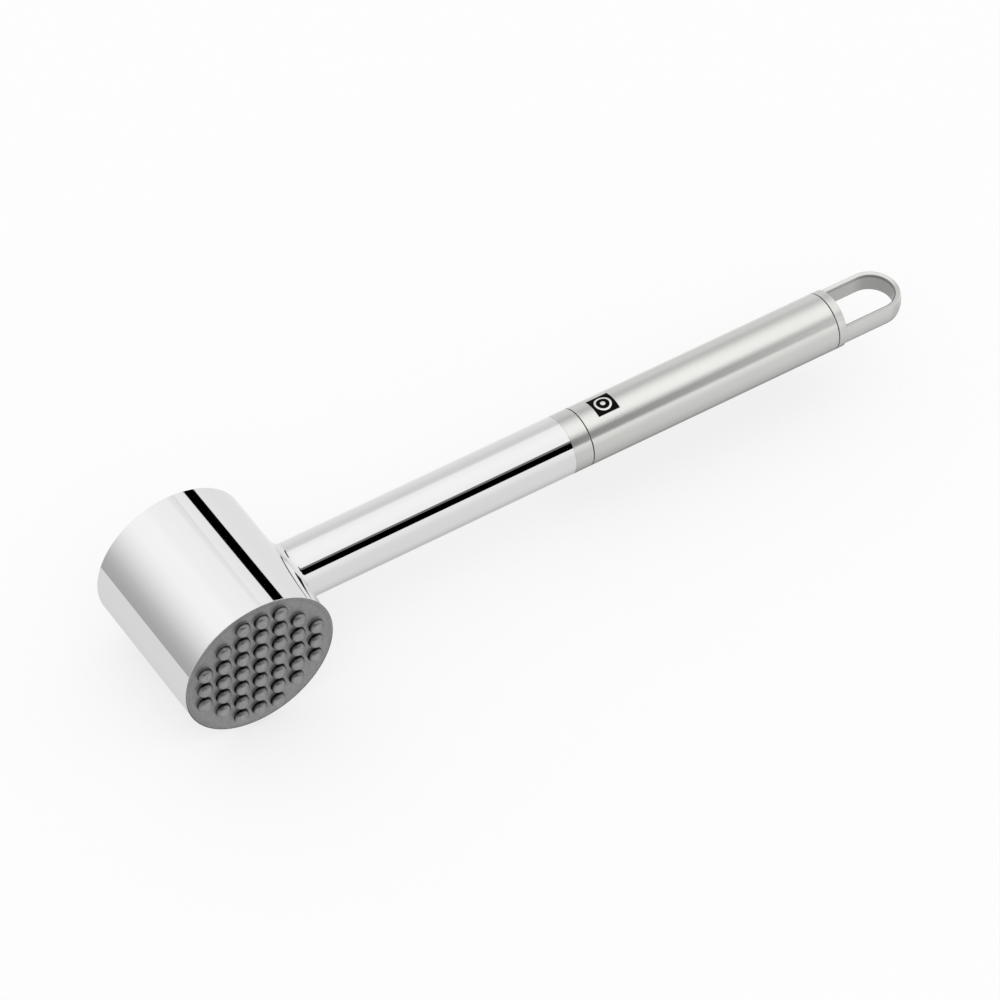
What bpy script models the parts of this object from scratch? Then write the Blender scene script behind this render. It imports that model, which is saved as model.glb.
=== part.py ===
"""A stainless steel meat mallet: a round head with a studded and a smooth striking face, and a round handle
with a hanging slot. The origin is the centre of the smooth face, +X runs along the handle to its tail, +Y
points out of the smooth face and +Z is up."""

import math

import bmesh
import bpy
from mathutils import Vector

MM = 0.001

# Round pieces: how many flat sides stand for a circle.
HEAD_SEGMENTS = 60
HANDLE_SEGMENTS = 40
STUD_SEGMENTS = 12
SMALL_SEGMENTS = 20

# Clearances between pieces that fit into or rest against each other.
FIT_GAP = 0.05 * MM
END_GAP = 0.05 * MM

# Head, measured along its own axis from the smooth face (0) to the studded face.
HEAD_RADIUS = 25.0 * MM
HEAD_LENGTH = 50.5 * MM
SLEEVE_WALL = 1.3 * MM
SLEEVE_CHAMFER = 0.2 * MM
FACE_THICKNESS = 6.0 * MM
FACE_CHAMFER = 0.2 * MM
FACE_SCREW_RADIUS = 3.0 * MM
FACE_SCREW_IN_DISC = 3.5 * MM
FACE_SCREW_IN_CORE = 10.0 * MM
SCREW_SOCKET_RADIUS = 1.7 * MM
SCREW_SOCKET_DEPTH = 3.0 * MM

# Studs: a square grid with its corners left out, turned a little against the handle.
STUD_PITCH = 6.25 * MM
STUD_RADIUS = 2.45 * MM
STUD_HEIGHT = 2.2 * MM
STUD_ROOT = 0.8 * MM
STUD_GRID_HALF = 3
STUD_GRID_CORNER = 4
STUD_GRID_TURN = math.radians(2.2)

# Handle, measured along its own axis from the head's axis (0) to the tail.
HANDLE_RADIUS = 9.5 * MM
HANDLE_WALL = 2.0 * MM
SADDLE_RING_RADIUS = 11.5 * MM
SADDLE_RING_HEIGHT = 2.0 * MM
SADDLE_FILLET_STEPS = 5
NECK_END = 121.0 * MM
FERRULE_END = 127.3 * MM
SEAL_THICKNESS = 0.45 * MM
SEAL_RECESS = 0.25 * MM
TAIL_START = 219.15 * MM
GRIP_CHAMFER = 0.2 * MM

# Tail loop: a turned bar with two flats, and a slot through the flats.
COLLAR_END = 221.8 * MM
LOOP_CENTRE = 237.6 * MM
LOOP_HALF_THICKNESS = 3.2 * MM
SLOT_HALF_WIDTH = 7.25 * MM
LOOP_DOME_STEPS = 8
SLOT_ARC_STEPS = 18

# Hidden pieces that hold the mallet together.
PLUG_START = 12.0 * MM
PLUG_END = 40.0 * MM
FERRULE_SPIGOT = 13.0 * MM
TAIL_SPIGOT = 16.0 * MM
ROD_RADIUS = 3.0 * MM
ROD_START = -14.0 * MM
ROD_END = 217.0 * MM
ROD_CHAMFER = 0.5 * MM
PIN_RADIUS = 1.5 * MM
PIN_OFFSET = -6.0 * MM
PIN_BOTTOM = -6.0 * MM
PIN_TOP = 22.0 * MM

SPIGOT_RADIUS = HANDLE_RADIUS - HANDLE_WALL
BORE_RADIUS = SPIGOT_RADIUS + FIT_GAP
SLEEVE_BORE = HEAD_RADIUS - SLEEVE_WALL
ROD_BORE = ROD_RADIUS + FIT_GAP
GRIP_START = FERRULE_END + SEAL_THICKNESS + 2 * END_GAP
GRIP_END = TAIL_START - SEAL_THICKNESS - 2 * END_GAP
MERGE_DISTANCE = 0.001 * MM


# ---- scene and materials ----


def clear_scene():
    for obj in list(bpy.data.objects):
        bpy.data.objects.remove(obj, do_unlink=True)


def metal(name, colour, roughness):
    material = bpy.data.materials.new(name)
    material.use_nodes = True
    shader = material.node_tree.nodes["Principled BSDF"]
    shader.inputs["Base Color"].default_value = (*colour, 1.0)
    shader.inputs["Roughness"].default_value = roughness
    shader.inputs["Metallic"].default_value = 1.0
    return material


def polished_steel():
    return metal("polished_steel", (0.86, 0.86, 0.86), 0.06)


def satin_steel():
    return metal("satin_steel", (0.78, 0.78, 0.76), 0.32)


def matt_steel():
    return metal("matt_steel", (0.45, 0.45, 0.45), 0.45)


def plain_steel():
    return metal("plain_steel", (0.55, 0.56, 0.58), 0.5)


def dark_seal():
    material = metal("dark_seal", (0.03, 0.03, 0.03), 0.6)
    material.node_tree.nodes["Principled BSDF"].inputs["Metallic"].default_value = 0.0
    return material


def axis_empty(name, location, rotation):
    """A guide whose local Z is the axis that its children are turned about."""
    empty = bpy.data.objects.new(name, None)
    bpy.context.scene.collection.objects.link(empty)
    empty.location = location
    empty.rotation_euler = rotation
    return empty


# ---- shape helpers ----


def add_object(name, bm, parent, material):
    """Puts a finished mesh in the scene as one named object under its axis."""
    bmesh.ops.remove_doubles(bm, verts=bm.verts, dist=MERGE_DISTANCE)
    bmesh.ops.recalc_face_normals(bm, faces=bm.faces)
    mesh = bpy.data.meshes.new(name)
    bm.to_mesh(mesh)
    bm.free()
    mesh.shade_smooth()
    mesh.set_sharp_from_angle(angle=math.radians(30))
    obj = bpy.data.objects.new(name, mesh)
    bpy.context.scene.collection.objects.link(obj)
    obj.parent = parent
    if material:
        mesh.materials.append(material)
    return obj


def spin_profile(bm, profile, segments, axis_point=(0, 0, 0)):
    """Turns an outline of (radius, height) points about a line along Z through axis_point."""
    x, y, z = axis_point
    points = [bm.verts.new((x + radius, y, z + height)) for radius, height in profile]
    edges = []
    for first, second in zip(range(len(profile)), [*range(1, len(profile)), 0]):
        if profile[first][0] > 0 or profile[second][0] > 0:
            edges.append(bm.edges.new((points[first], points[second])))
    bmesh.ops.spin(
        bm,
        geom=points + edges,
        cent=axis_point,
        axis=(0, 0, 1),
        angle=2 * math.pi,
        steps=segments,
        use_merge=True,
    )


def turned(name, profile, parent, material, segments=HANDLE_SEGMENTS):
    bm = bmesh.new()
    spin_profile(bm, profile, segments)
    return add_object(name, bm, parent, material)


def rod_profile(radius, start, end, chamfer=0.0):
    """The outline of a solid round bar, with its end edges chamfered."""
    if not chamfer:
        return [(0, start), (radius, start), (radius, end), (0, end)]
    return [
        (0, start),
        (radius - chamfer, start),
        (radius, start + chamfer),
        (radius, end - chamfer),
        (radius - chamfer, end),
        (0, end),
    ]


def tube_profile(outer, inner, start, end, chamfer=0.0):
    """The outline of a tube, with its outer end edges chamfered."""
    if not chamfer:
        return [(inner, start), (outer, start), (outer, end), (inner, end)]
    return [
        (inner, start),
        (outer - chamfer, start),
        (outer, start + chamfer),
        (outer, end - chamfer),
        (outer - chamfer, end),
        (inner, end),
    ]


def cutter(name, profile, parent, segments):
    """A helper solid that only cuts: it isn't part of the mallet."""
    obj = turned(name, profile, parent, None, segments)
    return hide_helper(obj)


def hide_helper(obj):
    obj.hide_render = True
    obj.display_type = "WIRE"
    return obj


def combine(obj, other, operation="DIFFERENCE"):
    modifier = obj.modifiers.new(f"{operation.lower()} {other.name}", "BOOLEAN")
    modifier.operation = operation
    modifier.solver = "EXACT"
    modifier.object = other


def saddle_height(radius, angle, offset):
    """Where a line along the handle, at this radius and angle about it, meets a cylinder that is offset
    outwards from the head's round side."""
    across = radius * math.cos(angle)
    return math.sqrt((HEAD_RADIUS + offset) ** 2 - across**2)


def saddled(name, rings, parent, material):
    """A closed ring body about the handle. Each entry of rings is (radius, height), where height is a
    function of the angle about the handle, and the entries go once round the wall's section."""
    bm = bmesh.new()
    angles = [2 * math.pi * step / HANDLE_SEGMENTS for step in range(HANDLE_SEGMENTS)]
    loops = []
    for radius, height in rings:
        loop = []
        for angle in angles:
            point = (radius * math.cos(angle), radius * math.sin(angle), height(angle))
            loop.append(bm.verts.new(point))
        loops.append(loop)
    for index, loop in enumerate(loops):
        following = loops[(index + 1) % len(loops)]
        for step in range(HANDLE_SEGMENTS):
            after = (step + 1) % HANDLE_SEGMENTS
            bm.faces.new((loop[step], loop[after], following[after], following[step]))
    return add_object(name, bm, parent, material)


def on_saddle(radius, offset):
    return radius, lambda angle: saddle_height(radius, angle, offset)


def level(radius, height):
    return radius, lambda angle: height


# ---- head ----


def head_sleeve(head, handle, material):
    profile = tube_profile(HEAD_RADIUS, SLEEVE_BORE, 0, HEAD_LENGTH, SLEEVE_CHAMFER)
    sleeve = turned("head_sleeve", profile, head, material, HEAD_SEGMENTS)
    hole = rod_profile(BORE_RADIUS, HEAD_RADIUS / 2, HEAD_RADIUS * 1.5)
    combine(sleeve, cutter("sleeve_side_hole", hole, handle, HANDLE_SEGMENTS))
    return sleeve


def face_profile(plane, back):
    """The outline of a striking disc from its flat outer plane to its back, with a blind screw hole."""
    inward = math.copysign(1, back - plane)
    radius = SLEEVE_BORE - FIT_GAP
    hole_floor = back - inward * FACE_SCREW_IN_DISC
    return [
        (0, plane),
        (radius - FACE_CHAMFER, plane),
        (radius, plane + inward * FACE_CHAMFER),
        (radius, back),
        (FACE_SCREW_RADIUS + FIT_GAP, back),
        (FACE_SCREW_RADIUS + FIT_GAP, hole_floor),
        (0, hole_floor),
    ]


def smooth_face(head, material):
    profile = face_profile(0, FACE_THICKNESS)
    return turned("smooth_face", profile, head, material, HEAD_SEGMENTS)


def stud_places():
    """The centres of the studs, row by row, about the head's axis."""
    reach = range(-STUD_GRID_HALF, STUD_GRID_HALF + 1)
    places = []
    for row in reach:
        for column in reach:
            if abs(row) + abs(column) <= STUD_GRID_CORNER:
                place = Vector((column * STUD_PITCH, -row * STUD_PITCH))
                turn = Vector((math.cos(STUD_GRID_TURN), math.sin(STUD_GRID_TURN)))
                x = place.x * turn.x + place.y * turn.y
                y = place.y * turn.x - place.x * turn.y
                places.append((x, y))
    return places


def stud_profile():
    """A steep-sided dome on a short straight root that sinks into the disc."""
    dome = []
    for share in (0.0, 0.6):
        lean = share * math.pi / 2
        dome.append((STUD_RADIUS * math.cos(lean) ** 0.8, STUD_HEIGHT * math.sin(lean)))
    return [(0, -STUD_ROOT), (STUD_RADIUS, -STUD_ROOT), *dome, (0, STUD_HEIGHT)]


def studded_face(head, material):
    profile = face_profile(HEAD_LENGTH, HEAD_LENGTH - FACE_THICKNESS)
    face = turned("studded_face", profile, head, material, HEAD_SEGMENTS)
    bm = bmesh.new()
    for x, y in stud_places():
        spin_profile(bm, stud_profile(), STUD_SEGMENTS, (x, y, HEAD_LENGTH))
    combine(face, hide_helper(add_object("stud_bodies", bm, head, None)), "UNION")
    return face


def head_core(head, handle, material):
    start = FACE_THICKNESS + END_GAP
    end = HEAD_LENGTH - FACE_THICKNESS - END_GAP
    profile = rod_profile(SLEEVE_BORE - FIT_GAP, start, end, SLEEVE_CHAMFER)
    core = turned("head_core", profile, head, material, HEAD_SEGMENTS)
    neck_seat = rod_profile(BORE_RADIUS, PLUG_START, HEAD_RADIUS * 1.5)
    combine(core, cutter("core_neck_seat", neck_seat, handle, HANDLE_SEGMENTS))
    rod_hole = rod_profile(ROD_BORE, ROD_START, HEAD_RADIUS)
    combine(core, cutter("core_rod_hole", rod_hole, handle, SMALL_SEGMENTS))
    screw_hole = FACE_SCREW_RADIUS + FIT_GAP
    depth = FACE_SCREW_IN_CORE
    smooth_hole = rod_profile(screw_hole, start - depth, start + depth)
    combine(core, cutter("core_smooth_screw_hole", smooth_hole, head, SMALL_SEGMENTS))
    studded_hole = rod_profile(screw_hole, end - depth, end + depth)
    combine(core, cutter("core_studded_screw_hole", studded_hole, head, SMALL_SEGMENTS))
    return core


def face_screw(name, head, joint, inward, material):
    """A headless screw across the joint between a striking disc and the core, with a hexagon socket in
    the end that points into the core."""
    outer_end = joint - inward * (FACE_SCREW_IN_DISC - END_GAP)
    inner_end = joint + inward * (FACE_SCREW_IN_CORE - END_GAP)
    ends = sorted((outer_end, inner_end))
    profile = rod_profile(FACE_SCREW_RADIUS, *ends, ROD_CHAMFER)
    screw = turned(name, profile, head, material, SMALL_SEGMENTS)
    socket_ends = sorted((inner_end - inward * SCREW_SOCKET_DEPTH, inner_end + inward * END_GAP))
    socket = rod_profile(SCREW_SOCKET_RADIUS, *socket_ends)
    combine(screw, cutter(f"{name}_socket", socket, head, 6))
    return screw


def face_screws(head, material):
    smooth_joint = FACE_THICKNESS
    studded_joint = HEAD_LENGTH - FACE_THICKNESS
    face_screw("smooth_face_screw", head, smooth_joint, 1, material)
    face_screw("studded_face_screw", head, studded_joint, -1, material)


# ---- handle ----


def neck_saddle_ring(handle, material):
    """A ring that sits on the head's round side, with a concave fillet up to the neck."""
    fillet_drop = SADDLE_RING_HEIGHT - END_GAP
    flare = SADDLE_RING_RADIUS - HANDLE_RADIUS
    rings = [on_saddle(BORE_RADIUS, END_GAP), on_saddle(BORE_RADIUS, SADDLE_RING_HEIGHT)]
    for step in range(SADDLE_FILLET_STEPS + 1):
        lean = step / SADDLE_FILLET_STEPS * math.pi / 2
        radius = HANDLE_RADIUS + flare * (1 - math.cos(lean))
        offset = END_GAP + fillet_drop * (1 - math.sin(lean))
        rings.append(on_saddle(radius, offset))
    rings.append(on_saddle((SADDLE_RING_RADIUS + BORE_RADIUS) / 2, END_GAP))
    return saddled("neck_saddle_ring", rings, handle, material)


def neck_tube(handle, material):
    foot = SADDLE_RING_HEIGHT + END_GAP
    rings = [
        on_saddle(BORE_RADIUS, foot),
        level(BORE_RADIUS, NECK_END),
        level(HANDLE_RADIUS, NECK_END),
        on_saddle(HANDLE_RADIUS, foot),
    ]
    return saddled("neck_tube", rings, handle, material)


def neck_plug(handle, material):
    start = PLUG_START + END_GAP
    profile = tube_profile(SPIGOT_RADIUS, ROD_BORE, start, PLUG_END, ROD_CHAMFER)
    return turned("neck_plug", profile, handle, material)


def ferrule(handle, material):
    start = NECK_END + END_GAP
    profile = [
        (ROD_BORE, start - FERRULE_SPIGOT),
        (SPIGOT_RADIUS, start - FERRULE_SPIGOT),
        (SPIGOT_RADIUS, start),
        (HANDLE_RADIUS, start),
        (HANDLE_RADIUS, FERRULE_END - GRIP_CHAMFER),
        (HANDLE_RADIUS - GRIP_CHAMFER, FERRULE_END),
        (SPIGOT_RADIUS, FERRULE_END),
        (SPIGOT_RADIUS, FERRULE_END + FERRULE_SPIGOT),
        (ROD_BORE, FERRULE_END + FERRULE_SPIGOT),
    ]
    return turned("ferrule", profile, handle, material)


def seal_ring(name, start, handle, material):
    outer = HANDLE_RADIUS - SEAL_RECESS
    profile = tube_profile(outer, BORE_RADIUS, start, start + SEAL_THICKNESS)
    return turned(name, profile, handle, material)


def handle_tube(handle, material):
    profile = tube_profile(HANDLE_RADIUS, BORE_RADIUS, GRIP_START, GRIP_END, GRIP_CHAMFER)
    return turned("handle_tube", profile, handle, material)


def tail_bar_profile():
    """The turned bar of the tail loop: spigot, collar, straight length and a round end, with a blind
    hole for the tie rod."""
    profile = [
        (0, ROD_END),
        (ROD_BORE, ROD_END),
        (ROD_BORE, TAIL_START - TAIL_SPIGOT),
        (SPIGOT_RADIUS, TAIL_START - TAIL_SPIGOT),
        (SPIGOT_RADIUS, TAIL_START),
        (HANDLE_RADIUS - GRIP_CHAMFER, TAIL_START),
        (HANDLE_RADIUS, TAIL_START + GRIP_CHAMFER),
    ]
    for step in range(LOOP_DOME_STEPS + 1):
        lean = step / LOOP_DOME_STEPS * math.pi / 2
        radius = HANDLE_RADIUS * math.cos(lean) if step < LOOP_DOME_STEPS else 0
        profile.append((radius, LOOP_CENTRE + HANDLE_RADIUS * math.sin(lean)))
    return profile


def extruded(name, outline, low, high, parent):
    """A helper prism: an outline in the plane of the slot, drawn through the handle's thickness."""
    bm = bmesh.new()
    floor = [bm.verts.new((low, across, along)) for along, across in outline]
    face = bm.faces.new(floor)
    raised = bmesh.ops.extrude_face_region(bm, geom=[face])["geom"]
    moved = [item for item in raised if isinstance(item, bmesh.types.BMVert)]
    bmesh.ops.translate(bm, verts=moved, vec=(high - low, 0, 0))
    return hide_helper(add_object(name, bm, parent, None))


def flat_cutter(name, side, handle):
    """Everything beyond one of the loop's two flats, from the collar to past the tail."""
    reach = 2 * HANDLE_RADIUS
    outline = [
        (COLLAR_END, -reach),
        (COLLAR_END, reach),
        (LOOP_CENTRE + reach, reach),
        (LOOP_CENTRE + reach, -reach),
    ]
    low, high = sorted((side * LOOP_HALF_THICKNESS, side * reach))
    return extruded(name, outline, low, high, handle)


def slot_cutter(handle):
    """The hanging slot: straight from the collar, with a round tail end."""
    outline = [(COLLAR_END, -SLOT_HALF_WIDTH)]
    for step in range(SLOT_ARC_STEPS + 1):
        lean = (step / SLOT_ARC_STEPS - 0.5) * math.pi
        along = LOOP_CENTRE + SLOT_HALF_WIDTH * math.cos(lean)
        outline.append((along, SLOT_HALF_WIDTH * math.sin(lean)))
    outline.append((COLLAR_END, SLOT_HALF_WIDTH))
    return extruded("loop_slot", outline, -HANDLE_RADIUS, HANDLE_RADIUS, handle)


def tail_loop(handle, material):
    loop = turned("tail_loop", tail_bar_profile(), handle, material)
    combine(loop, flat_cutter("loop_lower_flat", 1, handle))
    combine(loop, flat_cutter("loop_upper_flat", -1, handle))
    combine(loop, slot_cutter(handle))
    return loop


def pin_axis_empty(handle):
    """The lock pin's axis: straight up through the tie rod, near its end in the core."""
    empty = axis_empty("pin_axis", (0, 0, PIN_OFFSET), (0, -math.pi / 2, 0))
    empty.parent = handle
    return empty


def tie_rod(handle, pin_axis, material):
    start = ROD_START + END_GAP
    profile = rod_profile(ROD_RADIUS, start, ROD_END - END_GAP, ROD_CHAMFER)
    rod = turned("tie_rod", profile, handle, material, SMALL_SEGMENTS)
    pin_hole = rod_profile(PIN_RADIUS + FIT_GAP, -2 * ROD_RADIUS, 2 * ROD_RADIUS)
    combine(rod, cutter("rod_pin_hole", pin_hole, pin_axis, SMALL_SEGMENTS))
    return rod


def rod_lock_pin(core, pin_axis, material):
    """The cross pin, and its hole in the core, which is open at the top."""
    profile = rod_profile(PIN_RADIUS, PIN_BOTTOM + END_GAP, PIN_TOP, ROD_CHAMFER)
    turned("rod_lock_pin", profile, pin_axis, material, SMALL_SEGMENTS)
    hole = rod_profile(PIN_RADIUS + FIT_GAP, PIN_BOTTOM, HEAD_RADIUS)
    combine(core, cutter("core_pin_hole", hole, pin_axis, SMALL_SEGMENTS))


def build():
    clear_scene()
    polished = polished_steel()
    satin = satin_steel()
    plain = plain_steel()
    seal = dark_seal()
    head = axis_empty("head_axis", (0, 0, 0), (math.pi / 2, 0, 0))
    handle = axis_empty("handle_axis", (0, -HEAD_LENGTH / 2, 0), (0, math.pi / 2, 0))
    pin_axis = pin_axis_empty(handle)
    head_sleeve(head, handle, polished)
    smooth_face(head, polished)
    studded_face(head, matt_steel())
    core = head_core(head, handle, plain)
    face_screws(head, plain)
    neck_saddle_ring(handle, polished)
    neck_tube(handle, polished)
    neck_plug(handle, plain)
    ferrule(handle, satin)
    seal_ring("front_seal_ring", FERRULE_END + END_GAP, handle, seal)
    handle_tube(handle, satin)
    seal_ring("rear_seal_ring", GRIP_END + END_GAP, handle, seal)
    tail_loop(handle, satin)
    tie_rod(handle, pin_axis, plain)
    rod_lock_pin(core, pin_axis, plain)


build()
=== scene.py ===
"""The looks of the steel meat mallet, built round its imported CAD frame.

Every visible CAD node is replaced by a finer piece of the same size with rounded edges. The hidden
pieces stay as they are and get a machined finish. +X runs along the handle to its tail, the studded face
looks along -Y, and +Z is up. Lengths are in metres. Angles in tables are in degrees.
"""

import math

import bmesh
import bpy
from mathutils import Matrix, Quaternion, Vector


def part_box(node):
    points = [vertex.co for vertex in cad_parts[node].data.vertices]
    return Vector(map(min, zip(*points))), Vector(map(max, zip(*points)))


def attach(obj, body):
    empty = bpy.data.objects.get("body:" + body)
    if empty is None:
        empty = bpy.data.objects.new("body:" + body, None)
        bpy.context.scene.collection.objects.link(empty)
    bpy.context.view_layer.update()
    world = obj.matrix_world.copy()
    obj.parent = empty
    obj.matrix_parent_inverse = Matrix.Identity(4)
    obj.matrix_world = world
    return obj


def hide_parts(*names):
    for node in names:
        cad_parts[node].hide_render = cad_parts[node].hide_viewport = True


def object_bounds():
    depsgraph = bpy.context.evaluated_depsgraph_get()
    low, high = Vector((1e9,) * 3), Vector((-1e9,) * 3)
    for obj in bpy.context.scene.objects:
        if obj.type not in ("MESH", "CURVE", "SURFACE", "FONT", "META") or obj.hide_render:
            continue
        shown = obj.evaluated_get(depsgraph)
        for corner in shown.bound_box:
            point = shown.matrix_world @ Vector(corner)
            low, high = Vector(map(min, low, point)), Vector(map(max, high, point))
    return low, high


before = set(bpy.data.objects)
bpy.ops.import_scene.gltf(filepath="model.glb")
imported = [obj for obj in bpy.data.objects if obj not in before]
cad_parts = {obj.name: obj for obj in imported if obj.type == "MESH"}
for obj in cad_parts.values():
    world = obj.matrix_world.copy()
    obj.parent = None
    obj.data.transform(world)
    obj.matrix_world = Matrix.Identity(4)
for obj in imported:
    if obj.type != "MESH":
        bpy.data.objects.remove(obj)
cad_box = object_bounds()

MM = 0.001

# How finely round shapes are cut.
HEAD_SEGMENTS = 320
HANDLE_SEGMENTS = 256
STUD_SEGMENTS = 48
CORNER_STEPS = 6
FILLET_STEPS = 24
LOOP_STEPS = 96

# The angle between two faces from which the edge between them looks sharp.
HANDLE_SHARP = math.radians(35)
HEAD_SHARP = math.radians(40)
DISC_SHARP = math.radians(50)

# ---- sizes, from the frame ----

sleeve_low, sleeve_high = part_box("head_sleeve")
disc_low, disc_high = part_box("studded_face")
ring_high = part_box("neck_saddle_ring")[1]
neck_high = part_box("neck_tube")[1]
ferrule_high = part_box("ferrule")[1]
front_seal_low, front_seal_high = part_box("front_seal_ring")
grip_low, grip_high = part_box("handle_tube")
rear_seal_low, rear_seal_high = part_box("rear_seal_ring")
loop_low, loop_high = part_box("tail_loop")
rod_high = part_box("tie_rod")[1]

# The CAD's clearance, the gap where visible pieces meet, how much a dark seam is narrowed at each side,
# the edge of a corner that looks sharp, and how near a point is to a surface that it lies on.
FIT_GAP = 0.05 * MM
HAIR_SEAM = 0.01 * MM
SEAM_CLOSE = 0.1 * MM
CRISP = 0.03 * MM
NEAR = 0.001 * MM

# A face lies along an axis if less than ALONG of its normal points down that axis. It looks towards
# something if more than TOWARDS of it does, and it is on the head's rim if more than RIM_FACING does.
ALONG = 0.3
TOWARDS = 0.7
RIM_FACING = 0.8

# The head, along its own axis from the smooth face (0) to the studded face.
HEAD_RADIUS = sleeve_high.z
HEAD_LENGTH = sleeve_high.y - sleeve_low.y
HEAD_EDGE = 0.18 * MM
SLEEVE_BORE = disc_high.z + FIT_GAP
DISC_RADIUS = SLEEVE_BORE - HAIR_SEAM
DISC_EDGE = 0.06 * MM
DISC_RIM = 0.4 * MM
SMOOTH_DISC_BACK = sleeve_high.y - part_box("smooth_face")[0].y
STUDDED_DISC_BACK = sleeve_high.y - disc_high.y
SCREW_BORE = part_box("studded_face_screw")[1].z + FIT_GAP
SCREW_DEPTH = 3.5 * MM

# The studs: a square grid, turned a little against the handle, with STUD_GRID_HALF rows and columns on each
# side of the middle. Studs more than STUD_GRID_STEPS steps from the middle are left out.
STUD_HEIGHT = sleeve_low.y - disc_low.y
STUD_RADIUS = 2.45 * MM
STUD_PITCH = 6.25 * MM
STUD_FULLNESS = 0.78
STUD_FILLET = 0.12 * MM
STUD_SKIRT = 0.15 * MM
STUD_DOME_STEPS = 18
STUD_FILLET_STEPS = 4
STUD_GRID_HALF = 3
STUD_GRID_STEPS = 4
STUD_GRID_TURN = math.radians(2.2)

# The handle, along its own axis from the head's axis (0) to the tail.
HANDLE_RADIUS = grip_high.z
HANDLE_Y = (grip_low.y + grip_high.y) / 2
SPIGOT_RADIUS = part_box("neck_plug")[1].z
TUBE_BORE = SPIGOT_RADIUS + FIT_GAP
ROD_BORE = rod_high.z + FIT_GAP
RING_HEIGHT = ring_high.x - HEAD_RADIUS
RING_RADIUS = ring_high.z
NECK_END = neck_high.x
FERRULE_START = NECK_END + HAIR_SEAM
FERRULE_SPIGOT = 13 * MM
FERRULE_END = ferrule_high.x - FERRULE_SPIGOT + SEAM_CLOSE
SEAL_RADIUS = front_seal_high.z
SEAM_EDGE = 0.1 * MM
GRIP_TAIL_EDGE = 0.2 * MM
GRIP_START = grip_low.x - SEAM_CLOSE
GRIP_END = grip_high.x + SEAM_CLOSE

# The tail loop: a collar, then a strap of constant section bent into a U.
COLLAR_START = rear_seal_high.x + FIT_GAP - SEAM_CLOSE
COLLAR_LENGTH = 2.7 * MM
COLLAR_END = rear_seal_high.x + COLLAR_LENGTH
COLLAR_EDGE = 0.2 * MM
LOOP_CENTRE = loop_high.x - HANDLE_RADIUS
STRAP_OUTER = HANDLE_RADIUS - HAIR_SEAM
STRAP_INNER = 7.25 * MM
STRAP_HALF = 3.2 * MM
STRAP_EDGE = 0.2 * MM
STRAP_CROWN_STEPS = 8
STRAP_ROOT = 0.4 * MM
ROD_HOLE_END = rod_high.x + FIT_GAP

# The plain printed mark on top of the grip, near its front end.
MARK_SIDE = 7.65 * MM
MARK_RING_OUTER = 0.36 * MARK_SIDE
MARK_RING_INNER = 0.275 * MARK_SIDE
MARK_DOT = 0.1 * MARK_SIDE
MARK_BLUR = 0.06 * MM
MARK_X = GRIP_START + 9.1 * MM
MARK_TURN = math.radians(-2.2)

# Local axes of turned pieces: Z runs from the smooth to the studded face, or from the head to the tail.
HEAD_AXIS = Matrix(((1, 0, 0, 0), (0, 0, -1, sleeve_high.y), (0, 1, 0, 0), (0, 0, 0, 1)))
HANDLE_AXIS = Matrix(((0, 0, 1, 0), (1, 0, 0, HANDLE_Y), (0, 1, 0, 0), (0, 0, 0, 1)))


# ---- outlines ----


def rounded(corners, open_ends=False):
    """Rounds the corners of an outline, which are (across, along, rounding) and listed anticlockwise.
    Returns (across, along, normal across, normal along) points. With open_ends the outline isn't closed."""
    points = []
    for index, (across, along, rounding) in enumerate(corners):
        here = Vector((across, along))
        before = Vector(corners[index - 1][:2])
        after = Vector(corners[(index + 1) % len(corners)][:2])
        arrive = (here - before).normalized()
        leave = (after - here).normalized()
        if open_ends and index == 0:
            arrive = leave
        if open_ends and index == len(corners) - 1:
            leave = arrive
        turn = math.atan2(arrive.cross(leave), arrive.dot(leave))
        side = math.copysign(1, turn)
        heading = math.atan2(arrive.y, arrive.x)
        start = here - arrive * rounding * math.tan(abs(turn) / 2)
        centre = start + Vector((-arrive.y, arrive.x)) * rounding * side
        shares = [step / CORNER_STEPS for step in range(CORNER_STEPS + 1)] if rounding else [0.5]
        for share in shares:
            angle = heading + turn * share
            normal = Vector((math.sin(angle), -math.cos(angle)))
            spot = centre + normal * rounding * side
            points.append((spot.x, spot.y, normal.x, normal.y))
    return points


def tube_outline(outer, inner, start, end, start_edge, end_edge):
    """A straight tube's wall, with a rounding for each end of its outside."""
    return rounded(
        [
            (inner, start, CRISP),
            (outer, start, start_edge),
            (outer, end, end_edge),
            (inner, end, CRISP),
        ]
    )


# ---- meshes ----


def add_piece(name, mesh, materials, cad_node):
    """Makes the piece that stands for this CAD node and rides with the one rigid body."""
    for material in materials:
        mesh.materials.append(material)
    obj = bpy.data.objects.new(name, mesh)
    bpy.context.scene.collection.objects.link(obj)
    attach(obj, "root")
    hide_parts(cad_node)
    return obj


def revolve(name, outline, axis, segments, closed=True):
    """Turns an outline from rounded() about an axis and keeps the outline's own normals. An outline
    that isn't closed makes a solid if it starts and ends on the axis."""
    vertices, normals, rings = [], [], []
    for radius, along, across, lengthways in outline:
        start = len(vertices)
        count = segments if radius > 0 else 1
        for step in range(count):
            angle = 2 * math.pi * step / segments
            cos, sin = math.cos(angle), math.sin(angle)
            vertices.append(axis @ Vector((radius * cos, radius * sin, along)))
            normals.append(axis.to_3x3() @ Vector((across * cos, across * sin, lengthways)))
        rings.append([start + step % count for step in range(segments)])
    faces = []
    for ring, following in zip(rings, rings[1:] + rings[:1] if closed else rings[1:]):
        for step in range(segments):
            after = (step + 1) % segments
            corners = (ring[step], ring[after], following[after], following[step])
            faces.append(tuple(dict.fromkeys(corners)))
    mesh = bpy.data.meshes.new(name)
    mesh.from_pydata(vertices, [], faces)
    mesh.shade_smooth()
    mesh.normals_split_custom_set_from_vertices([normal.normalized() for normal in normals])
    return mesh


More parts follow.
